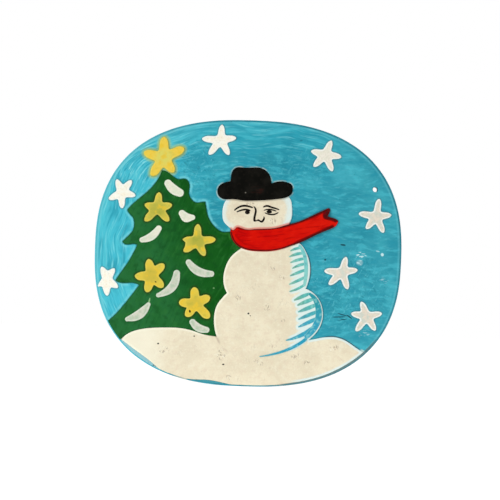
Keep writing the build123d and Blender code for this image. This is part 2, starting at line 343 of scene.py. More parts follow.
def blank(node, spacing, rounding, joined_to=(), measures=None):
    """A closed slab with the node's outline, its top points ready to be shaped."""
    low, high = (np.array(corner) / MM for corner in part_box(node))
    step = min(spacing, max(rounding, FINEST_STEP))
    loops = [spaced(loop, step) for loop in outlines[node]]
    rim = trace(node)
    shared = distance(rim, trace(*joined_to)) < TOUCHING
    rings = ring_points(loops, rim, [share * rounding for share in RINGS])
    middle = honeycomb(loops[0], spacing)
    middle = middle[inside(middle, loops)]
    middle = middle[distance(middle, rim) > rounding + CLEAR_OF_RINGS * spacing]
    inner = thinned(np.concatenate([rings, middle]), CROWDED * rounding)
    top, faces = triangulated(np.concatenate(loops + [inner]), loops)
    below, under = triangulated(np.concatenate(loops), loops)
    base = high[1] + (SKIRT if node != "sky_coat" else 0)

    build = bmesh.new()
    front = [build.verts.new((x * MM, low[1] * MM, z * MM)) for x, z in top]
    back = [build.verts.new((x * MM, base * MM, z * MM)) for x, z in below]
    for face in faces:
        build.faces.new([front[i] for i in face])
    for face in under:
        build.faces.new([back[i] for i in reversed(face)])
    start = 0
    for loop in loops:
        for i in range(len(loop)):
            k = (i + 1) % len(loop)
            build.faces.new([front[start + i], front[start + k], back[start + k], back[start + i]])
        start += len(loop)
    bmesh.ops.recalc_face_normals(build, faces=build.faces)
    mesh = bpy.data.meshes.new(f"{node}_blank")
    build.to_mesh(mesh)
    build.free()

    places = np.concatenate([top, below])
    is_top = np.concatenate([np.ones(len(top)), np.zeros(len(below))])
    long_side = 0 if high[0] - low[0] > high[2] - low[2] else 1
    span = (low[0], high[0]) if long_side == 0 else (low[2], high[2])
    facts = {
        "top": is_top,
        "edge": distance(places, rim[~shared]),
        "joined": distance(places, rim[shared]),
        "along": (places[:, long_side] - span[0]) / (span[1] - span[0]),
        "middle": np.linalg.norm(places - places[: len(loops[0])].mean(axis=0), axis=1),
    }
    for name, traces in (measures or {}).items():
        facts[name] = distance(places, traces)
    for name, values in facts.items():
        mesh.attributes.new(name, "FLOAT", "POINT").data.foreach_set("value", values.astype(np.float32))
    piece = bpy.data.objects.new(f"{node}_paint", mesh)
    scene.collection.objects.link(piece)
    return piece


print("a blank has attributes top, edge, joined, along and middle")

# %% [markdown]
# ## Laying the paint: one Geometry Nodes tree
# Every coat obeys the same rule, so one tree shapes them all. Starting from the flat top it takes paint
# away, never adds it, so no coat stands prouder than its CAD solid. It rounds the edge off like a quarter
# circle, dishes the middle behind a slight bead, and draws bristle ridges. The ridges are a noise that
# is stretched along the brush and squeezed across it. Near the edge the brush follows the outline,
# and further in it keeps to one angle. A broad soft noise makes the coat uneven.

# %% Build the laid paint tree
LAID_PAINT_INPUTS = {
    "Rounding": 0.4, "Edge Drop": 0.3, "Dish": 0.0, "Bristle Depth": 0.05, "Bristle Spacing": 0.9,
    "Bristle Length": 9.0, "Brush Angle": 0.0, "Follow Edge": 4.0, "Dapple Depth": 0.03,
    "Dapple Size": 6.0, "Join Drop": 0.0, "Join Reach": 8.0, "Deepest": 0.35, "Seed": 0.0,
}


def make_laid_paint():
    tree = bpy.data.node_groups.new("laid paint", "GeometryNodeTree")
    tree.is_modifier = True
    sockets = tree.interface
    sockets.new_socket("Blank", in_out="INPUT", socket_type="NodeSocketGeometry")
    for name, usual in LAID_PAINT_INPUTS.items():
        sockets.new_socket(name, in_out="INPUT", socket_type="NodeSocketFloat").default_value = usual
    sockets.new_socket("Paint", in_out="INPUT", socket_type="NodeSocketMaterial")
    sockets.new_socket("Coat", in_out="OUTPUT", socket_type="NodeSocketGeometry")

    bench = Bench(tree)
    given = bench.node("NodeGroupInput")
    size = {name: given.other(name) for name in LAID_PAINT_INPUTS}

    def remembered(name):
        return bench.node("GeometryNodeInputNamedAttribute", {"data_type": "FLOAT"}, {"Name": name})

    edge = remembered("edge")
    spot = bench.node("ShaderNodeSeparateXYZ", None, {0: bench.node("GeometryNodeInputPosition")})
    x, z = spot.other("X") / MM, spot.other("Z") / MM

    # the quarter circle of the rounded edge
    inward = bench.math("DIVIDE", edge, size["Rounding"], clamp=True)
    rounded = 1 - bench.math("SQRT", 1 - (1 - inward) ** 2)
    dished = bench.ease(edge, size["Rounding"], size["Rounding"] * 3)

    # the brush's own axes, turned by its angle, and following the outline near the edge
    cosine = bench.math("COSINE", size["Brush Angle"])
    sine = bench.math("SINE", size["Brush Angle"])
    along = x * cosine + z * sine
    across = z * cosine - x * sine
    follows = 1 - bench.ease(edge, size["Follow Edge"] * 0.5, size["Follow Edge"])
    across = across + (edge - across) * follows
    streak_place = bench.vector(along / size["Bristle Length"], across / size["Bristle Spacing"],
                                size["Seed"])
    bristles = bench.noise(streak_place, detail=2.5)
    dapples = bench.noise(bench.vector(x / size["Dapple Size"], z / size["Dapple Size"],
                                       size["Seed"] + 31), detail=2.0)
    joining = 1 - bench.ease(remembered("joined"), 0.0, size["Join Reach"])

    taken = (rounded * size["Edge Drop"] + dished * size["Dish"]
             + (1 - bristles) * size["Bristle Depth"] + (1 - dapples) * size["Dapple Depth"]
             + joining * size["Join Drop"])
    taken = bench.math("MINIMUM", taken, size["Deepest"]) * remembered("top") * MM
    shaped = bench.node("GeometryNodeSetPosition", None,
                        {"Geometry": given.other("Blank"), "Offset": bench.vector(0.0, taken, 0.0)})
    smooth = bench.node("GeometryNodeSetShadeSmooth", None, {"Geometry": shaped})
    real = bench.node("GeometryNodeRealizeInstances", None, {"Geometry": smooth})
    painted = bench.node("GeometryNodeSetMaterial", None,
                         {"Geometry": real, "Material": given.other("Paint")})
    bench.node("NodeGroupOutput", None, {"Coat": painted})
    return tree


laid_paint = make_laid_paint()
socket_names = {item.name: item.identifier for item in laid_paint.interface.items_tree
                if item.in_out == "INPUT"}
print("laid paint takes", ", ".join(LAID_PAINT_INPUTS))

# %% [markdown]
# A coat is laid by giving its blank the tree as a modifier, setting the inputs by their identifiers,
# and turning the result into a plain mesh. Sharp edges are then marked by angle, so that light breaks
# at the foot of the wall and nowhere on the rounded top.

# %% Lay one coat
SHARP = math.radians(50)
laid = {}


def lay(node, paint, slot, spacing=0.6, rounding=0.4, joined_to=(), measures=None, **brush):
    """Makes the piece that stands for one CAD coat or stroke."""
    rough = blank(node, spacing, rounding, joined_to, measures)
    modifier = rough.modifiers.new("laid paint", "NODES")
    modifier.node_group = laid_paint
    given = {"Rounding": rounding, "Seed": float(len(laid) + 1), **brush}
    for name, value in given.items():
        modifier[socket_names[name]] = value
    modifier[socket_names["Paint"]] = paint
    seen = rough.evaluated_get(bpy.context.evaluated_depsgraph_get())
    coat = bpy.data.meshes.new_from_object(seen)
    rough.modifiers.clear()
    blank_mesh = rough.data
    rough.data = coat
    coat.name = rough.name
    bpy.data.meshes.remove(blank_mesh)
    coat.set_sharp_from_angle(angle=SHARP)
    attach(rough, "root")
    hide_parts(node)
    laid[node] = rough


print(f"a coat breaks into facets at {math.degrees(SHARP):.0f} degrees and is smooth below that")


# %% [markdown]
# ## Colours and the paint recipe
# A colour is written as it looks on a screen, 0 to 255, and turned into the linear values that light
# is counted in. Every paint ends in the same Principled shader: a colour that varies, a roughness
# that varies a little, and a bump for the finest bristle lines, which are too small to be geometry.
# Between the two come washes: each lays one more colour over what is there, where a mask says.

# %% Colour helper and the common end of every paint
SHEEN_LEVEL = 0.13
DEEP_SHEEN = 0.06                   # for the deepest colours, which a haze would spoil first
SHEEN_HAZE = 0.004                  # what the soft reflection of the room adds to every colour


def tint(red, green, blue):
    """A screen colour as linear light, less the haze."""
    steps = (red / 255, green / 255, blue / 255)
    light = (s / 12.92 if s <= 0.04045 else ((s + 0.055) / 1.055) ** 2.4 for s in steps)
    return tuple(max(value - SHEEN_HAZE, 0.0004) for value in light) + (1.0,)


class Paint(Bench):
    """The shader of one paint. Places are millimetres on the painted face."""

    def __init__(self, name):
        self.material = bpy.data.materials.new(name)
        self.material.use_nodes = True
        super().__init__(self.material.node_tree)
        split = self.node("ShaderNodeSeparateXYZ", None,
                          {0: self.node("ShaderNodeTexCoord", out="Object")})
        self.x, self.y, self.z = (split.other(axis) / MM for axis in "XYZ")
        self.colour = None

    def fact(self, name):
        """A number that the piece's points remember."""
        return self.node("ShaderNodeAttribute", {"attribute_name": name}, out="Fac")

    def blend(self, mask, under, over):
        """The under colour where the mask is 0 and the over colour where it is 1."""
        return self.node("ShaderNodeMix", {"data_type": "RGBA", "clamp_factor": True},
                         {0: mask, 6: under, 7: over}, out=2)

    def patches(self, size, seed=0.0, detail=2.0):
        """Soft uneven patches of about this size, 0 to 1."""
        return self.noise(self.vector(self.x / size, self.z / size, seed), detail)

    def streaks(self, length, width, angle=0.0, seed=0.0, detail=3.0):
        """Bristle streaks of this length and width, at an angle, 0 to 1."""
        cosine, sine = math.cos(angle), math.sin(angle)
        along = self.x * cosine + self.z * sine
        across = self.z * cosine - self.x * sine
        return self.noise(self.vector(along / length, across / width, seed), detail, 0.6)

    def spot(self, x, z, wide, high, angle=0.0, soft=0.5):
        """An oval mark at a place, 1 in its middle and 0 outside."""
        cosine, sine = math.cos(angle), math.sin(angle)
        along = ((self.x - x) * cosine + (self.z - z) * sine) / (wide / 2)
        across = ((self.z - z) * cosine - (self.x - x) * sine) / (high / 2)
        return self.ease(along * along + across * across, 1.0, 1.0 - soft)

    def wash(self, mask, over):
        """Lays another colour over what is there, where the mask says."""
        self.colour = self.blend(mask, self.colour, over)

    def finish(self, roughness, height, strength=0.25, depth=0.1, sheen=SHEEN_LEVEL):
        """Ends the recipe: its colour, a roughness, and a bump whose depth is in millimetres."""
        bump = self.node("ShaderNodeBump", None,
                         {"Strength": strength, "Distance": depth * MM, "Height": height})
        skin = self.node("ShaderNodeBsdfPrincipled", None, {
            "Base Color": self.colour, "Roughness": roughness, "Normal": bump,
            "Specular IOR Level": sheen,
        })
        self.node("ShaderNodeOutputMaterial", None, {"Surface": skin})
        return self.material


print("white is", tuple(round(v, 2) for v in tint(255, 255, 255)))

# %% [markdown]
# ## The board
# The board is solid wood, seen bare on the back. Its edge was eased by sanding and then painted blue
# with the sky, so the wood shows again only where the edge has rubbed. The CAD mesh is right as it is,
# so it keeps its mesh and only gets this material. The grain is noise stretched twenty times along
# the board, with darker pores in it, and the paint stops short of the back in a wandering line.

# %% Wood and edge paint for the board
def make_board_finish():
    paint = Paint("wood with a painted edge")
    grain = paint.noise(paint.vector(paint.x / 26, paint.y / 2.6, paint.z / 1.7), 4.0, 0.6)
    rings = paint.noise(paint.vector(paint.x / 90, paint.y / 9, paint.z / 7), 2.0)
    pores = paint.noise(paint.vector(paint.x / 5, paint.y / 0.4, paint.z / 0.35), 1.0)
    wood = paint.blend(paint.ease(grain, 0.35, 0.65), tint(214, 180, 134), tint(186, 145, 98))
    wood = paint.blend(paint.ease(rings, 0.5, 0.62) * 0.5, wood, tint(160, 116, 72))
    wood = paint.blend(paint.ease(pores, 0.64, 0.75) * 0.6, wood, tint(120, 82, 48))

    wander = paint.patches(5.0, 3.0)
    depth_in = 0 - paint.y
    painted = paint.ease(depth_in + wander * 1.2, 1.0, 1.25)
    worn = paint.noise(paint.vector(paint.x / 3, paint.y / 1.2, paint.z / 3), 4.0, 0.7)
    rubbed = paint.ease(worn, 0.66, 0.72) * paint.ease(depth_in, 5.6, 4.2)
    shade = paint.patches(9.0, 8.0)
    teal = paint.blend(paint.ease(shade, 0.35, 0.65), tint(44, 138, 158), tint(58, 160, 178))
    teal = paint.blend(paint.ease(paint.x, -20, -80) * 0.8, teal, tint(92, 200, 216))
    # painted shade: low on the right the eased, painted edge is greyed where it lies in shade
    shaded_right_foot = paint.ease(paint.z, -46, -56) * paint.ease(paint.x, 12, 24)
    teal = paint.blend(shaded_right_foot * 0.7, teal, tint(92, 136, 142))
    at_foot = paint.ease(paint.z, -72.5, -75.5) * paint.ease(paint.x, -52, -44)
    at_foot = at_foot * paint.ease(paint.x, 24, 14)
    drip = paint.ease(paint.patches(11.0, 21.0) - at_foot * 0.25, 0.42, 0.3)
    teal = paint.blend(at_foot * paint.ease(depth_in, 3.2, 4.6) * (1 - drip), teal, tint(232, 222, 192))
    paint.colour = paint.blend(painted * (1 - rubbed), wood, teal)
    roughness = paint.ease(painted, 0.0, 1.0, 0.68, 0.46) + shade * 0.08
    return paint.finish(roughness, grain * (1 - painted) + shade * painted * 0.3, 0.3, 0.15)


board_finish = make_board_finish()
for place in frame["nodes"]["board"].material_slots:
    place.material = board_finish
print("board finish has", len(board_finish.node_tree.nodes), "nodes")

# %% [markdown]
# ## The sky
# The sky was brushed round the rim first and filled in with level strokes after. So its streaks need
# two sets of axes: near the rim they run along it, measured by the distance to the rim and the angle
# round the board, and further in they run level. The paint is thin on the left, where light streaks
# show through, and flatter on the right. The recipe is long, so four smaller parts of it come first,
# each a function that lays its own washes.

# %% Crossing dabs in the sky
def lay_sky_dabs(paint):
    """Short crossing dabs between the tree and the hat, and low on the right."""
    dabs = paint.streaks(4.0, 1.3, 1.1, 14.0)
    cross_dabs = paint.streaks(3.6, 1.1, -0.7, 15.0)
    blots = paint.patches(3.6, 16.0, 3.0)
    dabbed = (paint.spot(-34, 50, 40, 40, 0.0, 0.8) + paint.spot(58, -20, 64, 62, 0.0, 0.8)
              + paint.spot(28, 52, 50, 34, 0.0, 0.9) * 0.6)
    paint.wash(paint.ease(dabs, 0.54, 0.7) * dabbed * 0.55, tint(98, 200, 212))
    paint.wash(paint.ease(cross_dabs, 0.55, 0.68) * dabbed * 0.6, tint(34, 128, 146))
    paint.wash(paint.ease(blots, 0.56, 0.7) * dabbed * 0.4, tint(72, 182, 196))
    paint.wash(paint.ease(blots, 0.42, 0.3) * dabbed * 0.4, tint(40, 140, 158))


print("ready: dabs that cross in two directions")

# %% [markdown]
# Where the sky meets another coat it keeps a trace of it: a light stroke along the tree, painted shade as
# a thin dark line at the foot of each raised edge, a painted highlight as a pale ring round the hat, and
# yellow that was rubbed into the blue round the top star. Each is a wash that fades with the distance to
# that coat.

# %% Edges of the sky
def lay_sky_edges(paint, left):
    """Strokes beside the other coats, painted shade lines at their feet, a painted highlight round the
    hat, and painted highlight and shade lines along the rim.
    """
    near_tree, near_hat, near_star = (paint.fact(f"near_{name}") for name in ("tree", "hat", "star"))
    near_snow, near_top, rim = (paint.fact(name) for name in ("near_snow", "near_top_star", "rim"))
    broken = paint.ease(paint.patches(5.0, 18.0), 0.34, 0.56)
    along_tree = paint.ease(near_tree, 2.4, 0.9) * broken
    paint.wash(along_tree * 0.7, tint(120, 218, 228))
    # painted shade: a thin dark line at the foot of the tree's edge
    paint.wash(paint.ease(near_tree, 0.6, 0.2) * 0.7, tint(30, 112, 100))
    # painted highlight: a pale ring round the hat
    paint.wash(paint.ease(near_hat, 1.0, 0.4) * broken * 0.75, tint(190, 216, 212))
    # painted shade: a thin dark line round each star
    paint.wash(paint.ease(near_star, 0.9, 0.25) * 0.5, tint(72, 124, 136))
    paint.wash(paint.ease(near_top, 2.2, 0.1) * 0.75, tint(170, 200, 124))
    # painted shade: dark lines beside the snowman's right side and the bank's right, and a thin one round
    # all the snow
    shade_beside = paint.spot(37.5, -7, 6, 26, 0.1, 0.6) + paint.spot(57, -47, 30, 16, -0.5, 0.7)
    paint.wash(paint.ease(near_snow, 0.9, 0.45) * shade_beside * 0.75, tint(62, 88, 100))
    paint.wash(paint.ease(near_snow, 0.7, 0.25) * 0.45, tint(34, 96, 108))

    # the rim: a painted highlight just inside it, strongest on the lit left, and painted shade on it, a
    # thin dark line strongest on the right
    paint.wash(paint.ease(rim, 1.9, 0.9) * (0.25 + left * 0.3), tint(120, 212, 222))
    paint.wash(paint.ease(rim, 0.6, 0.1) * (0.7 - left * 0.35), tint(34, 118, 132))


print("ready: lines that follow the edges of the other coats")

# %% [markdown]
# At the foot of the plaque the sky is only a sliver between the snow and the rim. The blue greys there,
# snow runs over it in places, and handling has left it smudged.

# %% Foot of the sky
def lay_sky_foot(paint):
    """The narrow sliver of sky below the snow."""
    rim, near_snow = paint.fact("rim"), paint.fact("near_snow")

    # low on the left the blue greys, and snow runs over it in two places
    greyed = paint.ease(paint.x + paint.z * 0.7, -84, -92) * paint.ease(paint.z, -50, -54)
    paint.wash(greyed * 0.7, tint(158, 196, 204))
    paint.wash(paint.spot(-16, -76, 52, 7, -0.05) * 0.6, tint(66, 138, 150))

    # low on the right only a pale line and a grey one are left between the snow and the rim: the pale
    # line is a painted highlight beside the snow, and the grey one is painted shade on the rim
    foot = paint.ease(paint.z, -46, -52) * paint.ease(paint.x, 12, 20)
    pale = foot * paint.ease(near_snow, 1.6, 0.6) * paint.ease(rim, 3.6, 2.2)
    paint.wash(pale * 0.8, tint(204, 224, 218))
    paint.wash(foot * paint.ease(rim, 1.3, 0.7) * 0.85, tint(86, 116, 118))
    spill = paint.spot(-40, -73, 17, 6, -0.35) + paint.spot(7, -78, 20, 4)
    paint.wash(spill, tint(228, 218, 190))
    smudges = paint.ease(paint.patches(3.0, 19.0), 0.54, 0.62) * paint.ease(rim, 1.6, 0.6)
    smudges = smudges * paint.ease(paint.z, -60, -66) * paint.ease(paint.x, -20, -30)
    paint.wash(smudges * 0.8, tint(84, 92, 92))


print("ready: the sliver at the foot")

# %% [markdown]
# Last come the marks of age and a few painted glints, bright specks that stand in for light reflected off
# the varnish. The large ones are spots at chosen places, because they are single events. The small ones
# are noise with its peaks cut off, which leaves separate specks.

# %% Marks of age and painted glints in the sky
def lay_sky_marks_and_glints(paint, left):
    """A dark dash, a dot, scratches and nicks, and painted glints: bright specks of light reflected off
    the varnish.
    """
    dark = (paint.spot(55.5, 6.7, 3.6, 1.2, -0.1) + paint.spot(45.3, -2.3, 1.3, 1.3)
            + paint.spot(60.5, -35.3, 4.5, 0.9, -0.6) + paint.spot(54.5, -35.6, 9, 0.7, 0.05)
            + paint.spot(56.5, -34.2, 7, 0.7, -0.25) + paint.spot(57, -37, 6, 0.6, 0.2)
            + paint.spot(29, 67, 2, 0.8, 0.2) * 0.5)
    nicks = paint.ease(paint.noise(paint.vector(paint.x / 0.9, paint.z / 0.9, 44.0), 1.0), 0.72, 0.76)
    glint_specks = paint.ease(paint.noise(paint.vector(paint.x / 2.6, paint.z / 0.8, 40.0), 1.0), 0.54, 0.64)
    # painted glints: bright specks that stand in for light reflected off the varnish
    bright = (paint.spot(66, 1.0, 9, 4.6, -0.1, 0.8) * glint_specks
              + paint.spot(65.5, -3.4, 5, 4, 0.0, 0.9) * (0.35 + glint_specks * 0.65)
              + paint.spot(66.5, 0.3, 3.4, 1.0, 0.1) * 0.7 + paint.spot(78.7, 1.7, 2.2, 2.4, 0.4, 0.8)
              + paint.spot(76, 3.6, 2.6, 0.9, -0.2) * 0.5
              + paint.spot(80, -13, 7, 6, 0.0, 0.9) * glint_specks * 0.4
              + paint.spot(70, -45, 9, 6, 0.3, 0.9) * glint_specks * 0.4)
    paint.wash(dark * 0.85, tint(26, 50, 60))
    paint.wash(nicks * (1 - left) * 0.5, tint(34, 84, 96))
    paint.wash(bright * 0.95, tint(206, 240, 242))


print("ready: marks, fewer on the left")

# %% [markdown]
# With its smaller parts ready, the recipe starts with the ground colour and the two sets of streaks,
# and then calls the parts in the order in which the paint went on.

# %% Sky paint
def make_sky_paint():
    paint = Paint("blue sky paint")
    rim = paint.fact("rim")
    left = paint.ease(paint.x, -14, -62)
    top = paint.ease(paint.z, 50, 70)
    right = paint.ease(paint.x, 20, 75)

    # streaks that follow the rim and wander a little, and streaks that run level
    turn = paint.math("ARCTAN2", paint.x, paint.z) * half_height
    wander = paint.patches(30.0, 3.0, 1.0) * 12
    fine = paint.noise(paint.vector(turn / 14, (rim + wander) / 1.0, 2.0), 2.0, 0.62)
    broad = paint.noise(paint.vector(turn / 18, (rim + wander) / 3.2, 5.0), 2.0, 0.5)
    dip = paint.patches(26.0, 6.0, 1.0) * 9
    level_fine = paint.noise(paint.vector(paint.x / 6, (paint.z + dip) / 1.5, 7.0), 4.0, 0.66)
    level_broad = paint.noise(paint.vector(paint.x / 10, (paint.z + dip) / 3.6, 9.0), 3.0, 0.6)
    inward = paint.ease(rim + paint.patches(14.0, 4.0) * 10 + right * 30, 20, 30)
    fine = fine + (level_fine - fine) * inward
    broad = broad + (level_broad - broad) * inward

    # the ground colour goes from a bright left to a quieter right
    clouds = paint.patches(15.0, 12.0)
    paint.colour = paint.blend(left, tint(46, 156, 177), tint(72, 193, 213))
    paint.wash(top * 0.7, tint(52, 172, 192))
    paint.wash(right * 0.8, tint(59, 161, 178))
    paint.wash(paint.ease(clouds, 0.5, 0.66) * (0.6 - left * 0.3), tint(40, 144, 164))
    paint.wash(paint.ease(clouds, 0.5, 0.34) * (0.5 - left * 0.2), tint(66, 174, 188))

    # lighter places, mostly along the rim, and darker places further in
    lighter_places = (paint.spot(-44, 69, 44, 14, 0.35, 0.9) + paint.spot(0, 73, 60, 8, 0.0, 0.9) * 0.7
                   + paint.spot(56, 50, 22, 30, 0.5, 0.9) * 0.5 + paint.ease(paint.x, -79, -86) * 0.6
                   + paint.spot(84, -20, 8, 26, 0.0, 0.9) * 0.5
                   + paint.spot(35, 43, 18, 10, 0.0, 0.9) * 0.5)
    darker_places = (paint.spot(-20, 23, 18, 28, 0.3, 0.9) + paint.spot(12, 54, 26, 14, 0.0, 0.9)
                    + paint.spot(48, -25, 20, 26, 0.0, 0.9)
                    + paint.spot(62, 13, 22, 14, 0.0, 0.9) * 0.6)
    paint.wash(lighter_places * 0.6, tint(92, 206, 220))
    paint.wash(darker_places * 0.6, tint(38, 140, 160))

    # streaks, light ones strongest on the left and weakest on the right
    lively = 0.6 + left * 0.4 - right * 0.3
    smears = paint.ease(broad, 0.5, 0.64) * (lively + right * 0.2) * 0.8
    paint.wash(smears, tint(84, 202, 217))
    paint.wash(paint.ease(broad, 0.48, 0.32) * 0.6, tint(42, 150, 172))
    paint.wash(paint.ease(fine, 0.51, 0.72) * lively * (0.85 - inward * 0.35), tint(124, 218, 227))
    paint.wash(paint.ease(fine, 0.46, 0.32) * lively * 0.6, tint(42, 156, 180))
    corner = paint.spot(-68, 54, 46, 40, 0.8, 0.9)
    slashes = paint.noise(paint.vector(turn / 8, (rim + wander) / 1.1, 11.0), 2.0, 0.6)
    paint.wash(paint.ease(slashes, 0.54, 0.7) * corner * 0.8, tint(150, 232, 238))
    paint.wash(paint.ease(slashes, 0.46, 0.32) * corner * 0.75, tint(34, 146, 174))

    lay_sky_dabs(paint)
    lay_sky_edges(paint, left)
    lay_sky_foot(paint)
    lay_sky_marks_and_glints(paint, left)
    roughness = 0.36 + fine * 0.14 + clouds * 0.05
    return paint.finish(roughness, fine + broad * 0.5, 0.35, 0.12)


sky_paint = make_sky_paint()
STARS_IN_SKY = tuple(f"sky_star_{n}" for n in range(1, 8))
lay("sky_coat", sky_paint, "sky_paint", spacing=0.8, rounding=0.35,
    measures={
        "rim": spaced(outlines["sky_coat"][0], TRACE_STEP), "near_tree": trace("pine_tree"),
        "near_hat": trace("hat"), "near_star": trace(*STARS_IN_SKY),
        "near_top_star": trace("tree_top_star"),
        "near_snow": trace("snow_bank", "snowman_body", "scarf"),
    },
    **{"Edge Drop": 0.28, "Bristle Depth": 0.1, "Bristle Spacing": 1.3, "Bristle Length": 16.0,
       "Follow Edge": 26.0, "Dapple Depth": 0.04, "Deepest": 0.3})
print("sky:", len(laid["sky_coat"].data.polygons), "faces")

# %% [markdown]
# ## The pine tree
# The tree is one dark green coat, laid over the sky and worked down in short strokes. It is lighter
# and bluer on the left, where the coat is thin, and almost black-green beside the snowman. Round every
# yellow star the green is browner, because the brush picked up wet yellow there.

# %% Green paint
def make_green_paint():
    paint = Paint("green pine paint")
    strokes = paint.streaks(7.0, 1.6, 1.15, 3.0)
    clouds = paint.patches(12.0, 6.0)
    edge, near_star = paint.fact("edge"), paint.fact("near_star")
    left = paint.ease(paint.x + paint.z * 0.25 + paint.patches(20.0, 9.0) * 14, -14, -60)
    blots = paint.patches(5.0, 8.0, 2.0)
    paint.colour = paint.blend(left, tint(14, 84, 20), tint(38, 109, 57))
    paint.wash(paint.ease(clouds, 0.4, 0.65) * 0.45, tint(25, 96, 32))
    paint.wash(paint.ease(strokes, 0.5, 0.7) * 0.4, tint(44, 116, 48))
    paint.wash(paint.ease(strokes, 0.45, 0.3) * 0.45, tint(14, 76, 24))
    paint.wash(paint.ease(blots, 0.5, 0.68) * 0.4, tint(12, 72, 26))
    paint.wash(paint.ease(blots, 0.46, 0.3) * 0.3, tint(48, 116, 52))
    paint.wash(paint.ease(near_star, 1.7, 0.5) * 0.55, tint(40, 62, 18))
    fresh = paint.ease(edge, 2.0, 0.9) * paint.ease(paint.patches(6.0, 17.0), 0.45, 0.62)
    fresh = fresh * paint.ease(paint.x, -40, -28) * paint.ease(paint.z, -6, 6)
    paint.wash(fresh * 0.4, tint(60, 136, 52))
    paint.wash(paint.ease(edge, 0.7, 0.1) * 0.6, tint(14, 72, 46))
    wisp = (paint.spot(-57, -29.8, 1.0, 4.4, -0.2) + paint.spot(-19.5, -21, 1.2, 1.0) * 0.6
            + paint.spot(-13, -26.5, 2.2, 0.7, 0.5) * 0.7)
    paint.wash(wisp * 0.8, tint(150, 200, 140))
    return paint.finish(0.42 + strokes * 0.12, strokes + clouds * 0.4, 0.3, 0.12)


STARS_ON_TREE = tuple(f"tree_star_{n}" for n in range(1, 5))
lay("pine_tree", make_green_paint(), "green_paint", spacing=0.6, rounding=0.35,
    measures={"near_star": trace(*STARS_ON_TREE)},
    **{"Edge Drop": 0.26, "Bristle Depth": 0.07, "Bristle Spacing": 1.2, "Bristle Length": 8.0,
       "Brush Angle": 1.15, "Follow Edge": 3.0, "Dapple Depth": 0.04, "Deepest": 0.3})
print("tree:", len(laid["pine_tree"].data.polygons), "faces")

# %% [markdown]
# ## Snow: the bank and the snowman
# Bank, body and head are the same warm cream. It is the thickest coat, and its surface is smooth, with
# small pits, brown flecks and faint smears where the ground shows. Where the body stands in the bank
# both were painted wet together, so there the body sinks to the bank's height and no edge shows.

# %% Cream paint
def make_cream_paint(name, seed, marks=(), worn=(), seams=(), cool=None, glow=None, washes=()):
    """Cream paint. marks are dark pits, each a place and a size. worn are ovals where fine brown
    scratches gather, and seams are ovals where the join with the next coat shows. cool picks the parts
    that turn bluer, and glow the painted highlights, where the cream is made lighter to stand in for
    light; both are masks made on the recipe. washes are thin colours that fade with a measure: its name,
    where the wash ends, where it is full, its strength and its colour."""
    paint = Paint(name)
    clouds = paint.patches(14.0, seed)
    mottles = paint.patches(3.4, seed + 5, 3.0)
    paint.colour = paint.blend(paint.ease(clouds, 0.35, 0.65), tint(232, 221, 193), tint(240, 230, 202))
    paint.wash(paint.ease(mottles, 0.5, 0.68) * 0.45, tint(228, 211, 184))
    paint.wash(paint.ease(mottles, 0.46, 0.3) * 0.5, tint(243, 237, 214))
    dust = paint.noise(paint.vector(paint.x / 1.1, paint.z / 1.1, seed + 21), 2.0)
    paint.wash(paint.ease(dust, 0.56, 0.72) * 0.3, tint(218, 206, 182))
    paint.wash(paint.ease(dust, 0.45, 0.3) * 0.3, tint(250, 244, 222))

    # scratches are thin noise, upright and slanting, gathered in patches
    upright = paint.ease(paint.streaks(2.8, 0.8, 1.5, seed + 7, 1.0), 0.57, 0.66)
    slanting = paint.ease(paint.streaks(2.6, 0.8, -0.6, seed + 8, 1.0), 0.58, 0.67)
    scratches = paint.math("MAXIMUM", upright, slanting)
    gathered = paint.ease(paint.patches(8.0, seed + 13, 1.0), 0.58, 0.68) * 0.25
    for x, z, wide, high, angle in worn:
        gathered = gathered + paint.spot(x, z, wide, high, angle, 0.8)
    pits = paint.ease(paint.noise(paint.vector(paint.x / 0.7, paint.z / 0.7, seed + 9), 1.0), 0.7, 0.76)
    pale = paint.ease(paint.streaks(2.4, 0.8, -1.0, seed + 10, 1.0), 0.58, 0.7)
    paint.wash(pale * gathered * 0.6, tint(252, 248, 234))
    paint.wash(paint.math("MAXIMUM", scratches, pits) * gathered * 0.6, tint(152, 132, 108))
    # painted highlight: the glow mask lightens the cream where light would catch it
    if glow:
        paint.wash(glow(paint), tint(249, 245, 222))
    if cool:
        paint.wash(cool(paint), tint(226, 242, 237))
    for measure, end, full, strength, wash in washes:
        paint.wash(paint.ease(paint.fact(measure), end, full) * strength, wash)
    for x, z, wide, high in marks:
        paint.wash(paint.spot(x, z, wide * 1.2, high * 1.2), tint(36, 30, 26))
    at_join = paint.ease(paint.fact("joined") + mottles * 2, 2.2, 0.9)
    for x, z, wide, high, angle in seams:
        paint.wash(paint.spot(x, z, wide, high, angle, 0.8) * at_join * 0.6, tint(190, 170, 148))
    return paint.finish(0.42 + clouds * 0.1, mottles - scratches * gathered, 0.25, 0.12)


# painted highlight: the far left of the bank lighter, and a light line along its top edge on the left
def bank_highlight(paint):
    bead = paint.ease(paint.fact("edge"), 1.5, 0.6) * paint.ease(paint.z, -62, -58)
    return paint.ease(paint.x, -42, -58) * 0.7 + bead * paint.ease(paint.x, -20, -30)


# painted highlight: a pale bluish-white line along the top edge of the bank on the right
def bank_edge_highlight(paint):
    bead = paint.ease(paint.fact("edge") + paint.patches(3.0, 61.0), 2.2, 1.2)
    return bead * paint.ease(paint.x, 24, 34)


